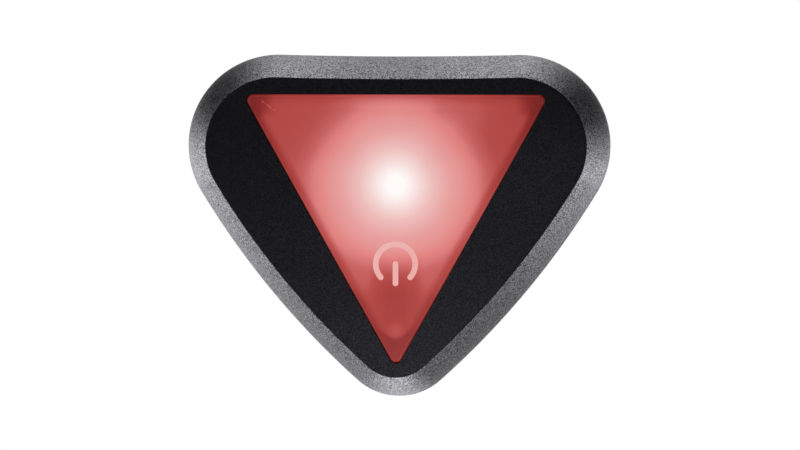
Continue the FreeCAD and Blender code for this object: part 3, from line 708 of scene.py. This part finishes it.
def lit_symbol():
    """Pale pink inlay that the lamp lights from behind."""
    paint = Finish("pale_symbol")
    x, y, z = paint.split(paint.place)
    frost = paint.noise(paint.place, per_mm=6.0, detail=2.0)
    lit = paint.mix(paint.fade(z, *SYMBOL_UPWARDS), SYMBOL_FOOT, SYMBOL_TOP)
    lit = paint.mix(paint.fade(x, *SYMBOL_RIGHTWARDS), lit, SYMBOL_RIGHT)
    lit = paint.mix(0.12 * frost, lit, SYMBOL_CLOUD)
    emission = paint.vector("SUBTRACT", lit, SYMBOL_LIT_BODY)
    return paint.shader(
        Base_Color=paint.mix(frost, SYMBOL_BODY, SYMBOL_BODY_DARK),
        Roughness=0.45 + 0.1 * frost,
        Specular_IOR_Level=0.2,
        Emission_Color=emission,
        Emission_Strength=1.0,
    )


def moulded(name, dark, light, rough, per_mm=4.0, depth_mm=0.02, specular=0.4):
    """Moulded plastic with an eroded texture of a given grain and depth."""
    paint = Finish(name)
    grain = paint.noise(paint.place, per_mm, detail=3.0, roughness=0.6)
    flow = paint.noise(paint.place, per_mm=0.18, detail=2.0)
    base = paint.mix(0.7 * grain + 0.3 * flow, (*dark, 1.0), (*light, 1.0))
    return paint.shader(
        Base_Color=base,
        Roughness=rough + 0.14 * (grain - 0.5) + 0.08 * (flow - 0.5),
        Specular_IOR_Level=specular,
        Normal=paint.bump(grain, depth_mm, strength=0.6),
    )


def metal(name, dark, light, rough, stretch=(1.0, 1.0, 1.0)):
    """Metal with fine marks drawn out along one way."""
    paint = Finish(name)
    marks = paint.noise(paint.place, per_mm=3.0, detail=4.0, roughness=0.6, stretch=stretch)
    stain = paint.noise(paint.place, per_mm=0.4, detail=2.0)
    return paint.shader(
        Base_Color=paint.mix(0.6 * marks + 0.4 * stain, (*dark, 1.0), (*light, 1.0)),
        Metallic=1.0,
        Roughness=rough + 0.16 * (marks - 0.5),
        Normal=paint.bump(marks, depth_mm=0.008, strength=0.5),
    )


# After the name: dark and light colour, roughness, a plastic's grain, depth and gloss, or a metal's stretch
finishes = {
    "shell_grey": graphite(),
    "soft_black": soft_touch(),
    "lens_red": lit_lens(),
    "symbol_pale": lit_symbol(),
    "reflector_white": moulded("reflector_white", (0.74, 0.74, 0.72), (0.86, 0.86, 0.84), 0.35, 2.0, 0.006),
    "board_green": moulded("board_green", (0.012, 0.075, 0.03), (0.02, 0.13, 0.05), 0.35, 1.5, 0.01),
    "led_white": moulded("lamp_white", (0.72, 0.71, 0.66), (0.84, 0.83, 0.78), 0.4, 5.0, 0.006),
    "dome_clear": moulded("dome_clear", (0.82, 0.76, 0.68), (0.9, 0.84, 0.76), 0.15, 3.0, 0.003),
    "switch_black": moulded("switch_black", (0.012, 0.012, 0.012), (0.022, 0.022, 0.022), 0.5, 6.0, 0.01),
    "tin": metal("tin", (0.5, 0.5, 0.48), (0.68, 0.68, 0.66), 0.38),
    "chip_black": moulded("chip_black", (0.012, 0.012, 0.013), (0.024, 0.024, 0.025), 0.6, 7.0, 0.01),
    "capacitor_tan": moulded("capacitor_tan", (0.32, 0.21, 0.12), (0.45, 0.31, 0.19), 0.45, 5.0, 0.006),
    "contact_steel": metal("contact_steel", (0.5, 0.48, 0.43), (0.7, 0.68, 0.62), 0.3, (0.2, 2.0, 2.0)),
    "cell_steel": metal("cell_steel", (0.55, 0.55, 0.54), (0.72, 0.72, 0.71), 0.28, (3.0, 1.0, 0.2)),
    "housing_black": moulded("housing_black", (0.012, 0.012, 0.0128), (0.022, 0.022, 0.0232), 0.55),
    "cover_black": moulded("cover_black", (0.014, 0.014, 0.0148), (0.027, 0.027, 0.0282), 0.5, 5.0, 0.016),
    "mark_black": moulded("polished_marks", (0.05, 0.05, 0.052), (0.075, 0.075, 0.078), 0.3, 6.0, 0.006),
    "seal_rubber": moulded("seal_rubber", (0.012, 0.012, 0.012), (0.02, 0.02, 0.02), 0.65, 8.0, 0.008, 0.3),
    "screw_steel": metal("screw_steel", (0.36, 0.36, 0.37), (0.56, 0.56, 0.57), 0.32),
    "foam_grey": moulded("foam_grey", (0.1, 0.1, 0.1), (0.2, 0.2, 0.2), 0.85, 3.0, 0.06, 0.1),
}
slot_of_node = {row["node"]: row["material_slot"] for row in frame["record"]["subparts"]}
bodies = frame["record"]["behaviour"]["bodies"]
body_of_node = {node: body for body, members in bodies.items() for node in members}


# Modelling

# Two places count as one below this distance, in metres
SAME_PLACE = 1e-6
# Least share of a normal along Y on a face that looks to the front or back, and the most on one that doesn't
FLAT_FACE = 0.99
STEEP_FACE = 0.97
SMOOTH_ANGLE_DEG = 32.0
# How far a cutting tool stands past what it cuts, in millimetres
CUT_PAST = 1.0


def only(piece):
    """Leaves one object selected and active."""
    bpy.ops.object.select_all(action="DESELECT")
    bpy.context.view_layer.objects.active = piece
    piece.select_set(True)


def editing(piece):
    """Opens one object in edit mode."""
    only(piece)
    bpy.ops.object.mode_set(mode="EDIT")


def done():
    """Leaves edit mode."""
    bpy.ops.object.mode_set(mode="OBJECT")


def pick(piece, kind, test):
    """Selects, in edit mode, the faces or edges that pass a test, and nothing else."""
    bpy.ops.mesh.select_mode(type=kind)
    bpy.ops.mesh.select_all(action="DESELECT")
    mesh = bmesh.from_edit_mesh(piece.data)
    for element in mesh.faces if kind == "FACE" else mesh.edges:
        if test(element):
            element.select_set(True)
    mesh.select_flush_mode()
    bmesh.update_edit_mesh(piece.data)


def side_centre():
    """Centre of the bowed right side, which touches the corner and the toe circle from inside."""
    to_corner = SIDE_BOW_RADIUS - CORNER_RADIUS
    to_toe = SIDE_BOW_RADIUS - TOE_RADIUS
    across = -CORNER_ACROSS
    down = -TOE_DOWN - CORNER_UP
    span = math.hypot(across, down)
    along = (to_corner**2 - to_toe**2 + span**2) / (2 * span)
    off = math.sqrt(to_corner**2 - along**2)
    x = CORNER_ACROSS + (along * across + off * down) / span
    z = CORNER_UP + (along * down - off * across) / span
    return x, z


def outline_arcs():
    """The six arcs of the outline: centre, radius, start, end and bend, clockwise from the front."""
    side_x, side_z = side_centre()
    top_z = CORNER_UP + math.sqrt((TOP_DIP_RADIUS + CORNER_RADIUS) ** 2 - CORNER_ACROSS**2)
    to_top = math.atan2(top_z - CORNER_UP, -CORNER_ACROSS)
    to_side = math.atan2(CORNER_UP - side_z, CORNER_ACROSS - side_x)
    to_toe = math.atan2(-TOE_DOWN - side_z, -side_x)
    half_turn = math.pi
    return [
        ((CORNER_ACROSS, CORNER_UP), CORNER_RADIUS, to_top, to_side, 1),
        ((side_x, side_z), SIDE_BOW_RADIUS, to_side, to_toe, 1),
        ((0.0, -TOE_DOWN), TOE_RADIUS, to_toe, -half_turn - to_toe, 1),
        ((-side_x, side_z), SIDE_BOW_RADIUS, half_turn - to_toe, half_turn - to_side, 1),
        ((-CORNER_ACROSS, CORNER_UP), CORNER_RADIUS, half_turn - to_side, half_turn - to_top, 1),
        ((0.0, top_z), TOP_DIP_RADIUS, -to_top, to_top - half_turn, -1),
    ]


def outline_points(inset):
    """Places on the outline, drawn in by the inset, counter-clockwise from the front."""
    places = []
    for centre, radius, start, end, bend in outline_arcs():
        sweep = abs(end - start)
        by_angle = math.degrees(sweep) / OUTLINE_STEP_DEG
        by_length = sweep * radius / OUTLINE_STEP_LENGTH
        count = max(OUTLINE_STEPS_LEAST, round(max(by_angle, by_length)))
        reach = radius - bend * inset
        for step in range(count):
            angle = start + (end - start) * step / count
            places.append((centre[0] + reach * math.cos(angle), centre[1] + reach * math.sin(angle)))
    places.reverse()
    return places


def plate(name, places, level):
    """A flat face with the given places as its border, facing the front."""
    turn = (math.pi / 2, 0.0, 0.0)
    bpy.ops.object.select_all(action="DESELECT")
    bpy.ops.mesh.primitive_circle_add(vertices=len(places), radius=MM, fill_type="NGON", rotation=turn)
    bpy.ops.object.transform_apply(location=True, rotation=True, scale=True)
    piece = bpy.context.active_object
    piece.name = name
    piece.data.name = name
    for vertex, (x, z) in zip(piece.data.vertices, places):
        vertex.co = Vector((x, level, z)) * MM
    return piece


def facing(direction, level):
    """A test for the flat face at a level that looks along Y, -1 for the front."""

    def test(face):
        centre = face.calc_center_median()
        return face.normal.y * direction > FLAT_FACE and abs(centre.y - level * MM) < SAME_PLACE

    return test


def extrude(distance):
    """Pulls the picked faces out along Y, by millimetres."""
    bpy.ops.mesh.extrude_region_move(TRANSFORM_OT_translate={"value": (0.0, distance * MM, 0.0)})


def inset(thickness, depth=0.0):
    """Draws the picked faces' border in, by millimetres, and lifts them by the depth."""
    bpy.ops.mesh.inset(thickness=thickness * MM, depth=depth * MM, use_even_offset=True)


def merged(piece):
    """Joins double places and turns all faces outwards."""
    editing(piece)
    bpy.ops.mesh.select_all(action="SELECT")
    bpy.ops.mesh.remove_doubles(threshold=SAME_PLACE)
    bpy.ops.mesh.normals_make_consistent(inside=False)
    done()


def smoothed(piece):
    """Smooth shading up to an angle, with the large faces kept flat."""
    only(piece)
    bpy.ops.object.shade_smooth_by_angle(angle=math.radians(SMOOTH_ANGLE_DEG))
    modifier = piece.modifiers.new("weighted", "WEIGHTED_NORMAL")
    modifier.keep_sharp = True
    modifier.weight = 100
    bpy.ops.object.modifier_apply(modifier=modifier.name)


def combine(piece, tool, operation):
    """Cuts or joins a closed tool, which is used up."""
    only(piece)
    modifier = piece.modifiers.new("combine", "BOOLEAN")
    modifier.operation = operation
    modifier.object = tool
    modifier.solver = "EXACT"
    bpy.ops.object.modifier_apply(modifier=modifier.name)
    bpy.data.objects.remove(tool)


def bar(name, radius, start, end, vertices=48):
    """A round bar between two places, in millimetres."""
    start, end = Vector(start), Vector(end)
    along = end - start
    bpy.ops.object.select_all(action="DESELECT")
    bpy.ops.mesh.primitive_cylinder_add(
        vertices=vertices,
        radius=radius * MM,
        depth=along.length * MM,
        location=(start + end) / 2 * MM,
        rotation=along.to_track_quat("Z", "Y").to_euler(),
    )
    bpy.ops.object.transform_apply(location=True, rotation=True, scale=True)
    made = bpy.context.active_object
    made.name = name
    return made


def brick(name, low, high):
    """A block between two corners, in millimetres."""
    low, high = Vector(low), Vector(high)
    bpy.ops.object.select_all(action="DESELECT")
    bpy.ops.mesh.primitive_cube_add(size=1.0, location=(low + high) / 2 * MM)
    made = bpy.context.active_object
    made.scale = (high - low) * MM
    bpy.ops.object.transform_apply(location=True, rotation=True, scale=True)
    made.name = name
    return made


def turned(arm, angle):
    """A flat vector turned counter-clockwise."""
    cosine, sine = math.cos(angle), math.sin(angle)
    return Vector((arm.x * cosine - arm.y * sine, arm.x * sine + arm.y * cosine))


def triangle_places(grow, radius):
    """The lens's triangle, grown about the lamp, with rounded corners, counter-clockwise."""
    scale = (LENS_INRADIUS + grow) / LENS_INRADIUS
    top = LIGHT_UP + (LENS_TOP - LIGHT_UP) * scale
    toe = LIGHT_UP - (LENS_HEIGHT - LENS_INRADIUS) * scale
    half = LENS_HALF_WIDTH * scale
    corners = [Vector((half, top)), Vector((-half, top)), Vector((0.0, toe))]
    places = []
    for before, corner, after in zip(corners[-1:] + corners[:-1], corners, corners[1:] + corners[:1]):
        back = (before - corner).normalized()
        onward = (after - corner).normalized()
        half_angle = back.angle(onward) / 2
        centre = corner + (back + onward).normalized() * radius / math.sin(half_angle)
        first = corner + back * radius / math.tan(half_angle) - centre
        sweep = math.pi - 2 * half_angle
        for step in range(LENS_CORNER_STEPS + 1):
            places.append(tuple(centre + turned(first, sweep * step / LENS_CORNER_STEPS)))
    return places


def window_tool(front, back):
    """A prism that cuts the lens's window, with the gap round the lens."""
    tool = plate("window_tool", triangle_places(LENS_GAP, LENS_CORNER + LENS_GAP), back)
    editing(tool)
    bpy.ops.mesh.select_all(action="SELECT")
    extrude(front - back)
    done()
    merged(tool)
    return tool


def slope_profile():
    """Insets and levels down the slope of the ring, on an arc that bulges."""
    start = Vector((0.0, PLATE_FRONT))
    end = Vector((SLOPE_WIDTH, LAND))
    chord = end - start
    outwards = Vector((-1.0, 0.0))
    outwards = (outwards - chord * outwards.dot(chord) / chord.length_squared).normalized()
    middle = Vector((SLOPE_WIDTH / 2 - SLOPE_BULGE, (PLATE_FRONT + LAND) / 2))
    bulge = (middle - (start + end) / 2).dot(outwards)
    radius = (chord.length**2 / 4 + bulge**2) / (2 * bulge)
    centre = (start + end) / 2 + outwards * (bulge - radius)
    first, last = start - centre, end - centre
    sweep = first.angle_signed(last)
    return [centre + turned(first, -sweep * step / SLOPE_STEPS) for step in range(SLOPE_STEPS + 1)]


def casing_ring():
    """Grey ring: rim, bulged slope, land and step for the black cover, hollow from behind."""
    ring = plate("casing_ring", outline_points(0.0), RIM_BACK)
    editing(ring)
    bpy.ops.mesh.select_all(action="SELECT")
    extrude(PLATE_FRONT - RIM_BACK)
    profile = slope_profile()
    for this, following in zip(profile, profile[1:]):
        inset(following.x - this.x, this.y - following.y)
    inset(COVER_STEP)
    extrude(RECESS_FLOOR - LAND)
    pick(ring, "FACE", facing(1, RIM_BACK))
    inset(RIM_WALL)
    extrude(PLATE_FRONT - RIM_BACK)
    inset(CAVITY_INSET - RIM_WALL)
    extrude(DECK_BACK - PLATE_FRONT)
    done()
    return ring


def outer_edge(level, sideways):
    """A test for the edges at a level between a face along Y and one that looks out or in."""

    def test(edge):
        if any(abs(vertex.co.y - level * MM) > SAME_PLACE for vertex in edge.verts):
            return False
        flat = [face for face in edge.link_faces if abs(face.normal.y) > FLAT_FACE]
        steep = [face for face in edge.link_faces if abs(face.normal.y) < STEEP_FACE]
        if len(flat) != 1 or len(steep) != 1:
            return False
        away = steep[0].normal.dot((edge.verts[0].co + edge.verts[1].co) / 2)
        return away * sideways > 0

    return test


def bevel_edges(piece, test, width, segments):
    """Rounds the edges that pass a test."""
    editing(piece)
    pick(piece, "EDGE", test)
    bpy.ops.mesh.bevel(offset=width * MM, segments=segments, profile=0.5, affect="EDGES")
    done()


def finish_casing(piece):
    """Window, bosses, posts, cradles and bores of the casing."""
    bevel_edges(piece, outer_edge(RIM_BACK, 1), RIM_EDGE, 3)
    bevel_edges(piece, outer_edge(LAND, 1), LAND_EDGE, 3)
    combine(piece, window_tool(LAND - CUT_PAST, DECK_BACK + CUT_PAST), "DIFFERENCE")
    inside_deck = (RECESS_FLOOR + DECK_BACK) / 2
    for x, z in SCREW_PLACES:
        front = inside_deck if x else BORE_END - BORE_CAP
        combine(piece, bar("boss", BOSS_RADIUS, (x, front, z), (x, PLATE_FRONT, z)), "UNION")
    for side in (-1, 1):
        x = side * POST_ACROSS
        post = bar("post", POST_RADIUS, (x, inside_deck, POST_UP), (x, BOARD_FRONT, POST_UP))
        combine(piece, post, "UNION")
        low, high = sorted((side * CRADLE_INNER, side * CRADLE_OUTER))
        cradle = brick(
            "cradle",
            (low, inside_deck, PIVOT_UP - CRADLE_HALF_HEIGHT),
            (high, PIVOT_LEVEL + CRADLE_RISE, PIVOT_UP + CRADLE_HALF_HEIGHT),
        )
        combine(piece, cradle, "UNION")
        start = (side * (CRADLE_INNER - CUT_PAST), PIVOT_LEVEL, PIVOT_UP)
        end = (side * (CRADLE_OUTER + CRADLE_CUT_PAST), PIVOT_LEVEL, PIVOT_UP)
        combine(piece, bar("pivot_slot", PIVOT_SLOT_RADIUS, start, end), "DIFFERENCE")
        low, high = sorted((start[0], end[0]))
        slot = brick(
            "pivot_way",
            (low, PIVOT_LEVEL, PIVOT_UP - PIVOT_SLOT_RADIUS),
            (high, PIVOT_WAY_BACK, PIVOT_UP + PIVOT_SLOT_RADIUS),
        )
        combine(piece, slot, "DIFFERENCE")
    for x, z in SCREW_PLACES:
        combine(piece, bar("bore", BORE_RADIUS, (x, BORE_END, z), (x, 0.0, z)), "DIFFERENCE")
    smoothed(piece)


def face_cover():
    """Black face plate: it stands proud of the ring, with rounded edges round a window."""
    cover = plate("face_cover", outline_points(SLOPE_WIDTH), LAND)
    editing(cover)
    bpy.ops.mesh.select_all(action="SELECT")
    extrude(FACE - LAND)
    pick(cover, "FACE", facing(1, LAND))
    inset(COVER_STEP + COVER_GAP)
    extrude(RECESS_FLOOR - LAND)
    done()
    bevel_edges(cover, outer_edge(FACE, 1), COVER_EDGE, 8)
    combine(cover, window_tool(FACE - CUT_PAST, RECESS_FLOOR + CUT_PAST), "DIFFERENCE")
    bevel_edges(cover, outer_edge(FACE, -1), WINDOW_EDGE, 3)
    smoothed(cover)
    return cover


# Faces of a copied node within the first angle become one, and edges over the second are rounded
ONE_FACE_DEG = 0.4
ROUNDED_EDGE_DEG = 40.0


def dressed(node, name, width):
    """A copy of a CAD node with its doubles merged, its edges rounded by a width and its curves smooth."""
    source = frame["nodes"][node]
    piece = bpy.data.objects.new(name, source.data.copy())
    piece.data.name = name
    scene.collection.objects.link(piece)
    merged(piece)
    editing(piece)
    bpy.ops.mesh.select_all(action="SELECT")
    bpy.ops.mesh.dissolve_limited(angle_limit=math.radians(ONE_FACE_DEG))
    done()
    if width:
        only(piece)
        modifier = piece.modifiers.new("edges", "BEVEL")
        modifier.width = width * MM
        modifier.segments = 2
        modifier.limit_method = "ANGLE"
        modifier.angle_limit = math.radians(ROUNDED_EDGE_DEG)
        bpy.ops.object.modifier_apply(modifier=modifier.name)
    smoothed(piece)
    return piece


def round_place(radius, degrees):
    """A place on a circle about the drum's axis."""
    angle = math.radians(degrees)
    return radius * math.cos(angle), radius * math.sin(angle)


def raised_mark(name, places):
    """A flat mark with rounded edges that stands up from the back of the drum or its cover."""
    mark = plate(name, places, DRUM_BACK - MARK_SINK)
    editing(mark)
    bpy.ops.mesh.select_all(action="SELECT")
    extrude(MARK_SINK + MARK_RISE)
    done()
    merged(mark)
    bevel_edges(mark, mark_edge, MARK_EDGE, 2)
    return mark


def mark_edge(edge):
    """A test for the edges round the top of a mark."""
    level = (DRUM_BACK + MARK_RISE) * MM
    return all(abs(vertex.co.y - level) < SAME_PLACE for vertex in edge.verts)


def arrow_places():
    """An arc with a head, which shows the way the cover opens."""
    inner, outer = [], []
    for step in range(ARROW_STEPS + 1):
        degrees = ARROW_START_DEG + (ARROW_NECK_DEG - ARROW_START_DEG) * step / ARROW_STEPS
        inner.append(round_place(ARROW_RADIUS - ARROW_HALF_WIDTH, degrees))
        outer.append(round_place(ARROW_RADIUS + ARROW_HALF_WIDTH, degrees))
    head = [
        round_place(ARROW_RADIUS - ARROW_HEAD_HALF_WIDTH, ARROW_NECK_DEG),
        round_place(ARROW_RADIUS, ARROW_TIP_DEG),
        round_place(ARROW_RADIUS + ARROW_HEAD_HALF_WIDTH, ARROW_NECK_DEG),
    ]
    return inner + head + outer[::-1]


def dot_places(centre):
    """A small circle about a place."""
    places = []
    for step in range(DOT_STEPS):
        x, z = round_place(DOT_RADIUS, 360 * step / DOT_STEPS)
        places.append((centre[0] + x, centre[1] + z))
    return places


def joined(name, pieces):
    """Several pieces made one, with smooth shading."""
    bpy.ops.object.select_all(action="DESELECT")
    for piece in pieces:
        piece.select_set(True)
    bpy.context.view_layer.objects.active = pieces[0]
    bpy.ops.object.join()
    pieces[0].name = name
    pieces[0].data.name = name
    smoothed(pieces[0])
    return pieces[0]


def plus_places():
    """A plus sign: the three corners of one arm, turned by quarters."""
    wide = PLUS_HALF_WIDTH
    corners = [(-wide, -PLUS_ARM), (wide, -PLUS_ARM), (wide, -wide)]
    places = []
    for quarter in range(4):
        places += [(x, PLUS_UP + z) for x, z in corners]
        corners = [(-z, x) for x, z in corners]
    return places


def cover_marks():
    """Turn arrow, index mark and plus sign on the battery cover."""
    index = [(-INDEX_HALF_WIDTH, INDEX_FOOT), (INDEX_HALF_WIDTH, INDEX_FOOT), (0.0, INDEX_TIP)]
    marks = [raised_mark("mark", places) for places in (index, plus_places(), arrow_places())]
    return joined("cover_marks", marks)


def drum_marks():
    """A dot on the drum's rim where the cover is closed, and a ring where it is open."""
    x, z = round_place(RIM_MIDDLE_RADIUS, OPEN_AT_DEG)
    ring_mark = raised_mark("mark", dot_places((x, z)))
    low, high = (x, DRUM_BACK - CUT_PAST, z), (x, DRUM_BACK + CUT_PAST, z)
    combine(ring_mark, bar("hole", OPEN_RING_HOLE_RADIUS, low, high, DOT_STEPS), "DIFFERENCE")
    closed = round_place(RIM_MIDDLE_RADIUS, CLOSED_AT_DEG)
    return joined("drum_marks", [raised_mark("mark", dot_places(closed)), ring_mark])


def place_piece(piece, node, body=None, slot=None, finish=None):
    """Attaches a finished piece to the body it rides on, gives it its finish, and hides the CAD node it
    stands for.
    """
    slot = slot or slot_of_node[node]
    piece.data.materials.clear()
    piece.data.materials.append(finishes[finish or slot])
    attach(piece, body or body_of_node[node])
    if node:
        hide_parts(node)


ring = casing_ring()
finish_casing(ring)
place_piece(ring, "front_shell")
place_piece(face_cover(), "front_cover")
# CAD node, its dressed piece, and how much the piece's edges are rounded, in millimetres
for node, name, width in (
    ("lens", "lens_cap", 0.07),
    ("power_symbol", "symbol_inlay", 0.0),
    ("rear_housing", "housing", 0.08),
    ("battery_cover", "cell_cover", 0.1),
    ("case_screws", "screws", 0.04),
    ("snap_arm_left", "catch_left", 0.1),
    ("snap_arm_right", "catch_right", 0.1),
):
    place_piece(dressed(node, name, width), node)
place_piece(cover_marks(), "", "cover", "cover_black", "mark_black")
place_piece(drum_marks(), "", "casing", "housing_black", "mark_black")
for node, source in frame["nodes"].items():
    source.data.materials.clear()
    source.data.materials.append(finishes[slot_of_node[node]])


# Floor

FLOOR_LEVEL = -0.16
FLOOR_RADIUS = 0.6
FLOOR_DARK = (0.86, 0.86, 0.86, 1.0)
FLOOR_PALE = (0.9, 0.9, 0.9, 1.0)
bpy.ops.object.select_all(action="DESELECT")
bpy.ops.mesh.primitive_circle_add(
    vertices=96, radius=FLOOR_RADIUS, fill_type="NGON", location=(0.0, 0.0, FLOOR_LEVEL)
)
floor = bpy.context.active_object
floor.name = "floor"
floor_paint = Finish("floor_pale")
clouds = floor_paint.noise(floor_paint.place, per_mm=0.02, detail=2.0)
floor_paint.shader(
    Base_Color=floor_paint.mix(clouds, FLOOR_DARK, FLOOR_PALE),
    Roughness=0.8,
    Emission_Color=WHITE,
    Emission_Strength=0.12,
)
floor.data.materials.append(floor_paint.material)
floor.visible_glossy = False
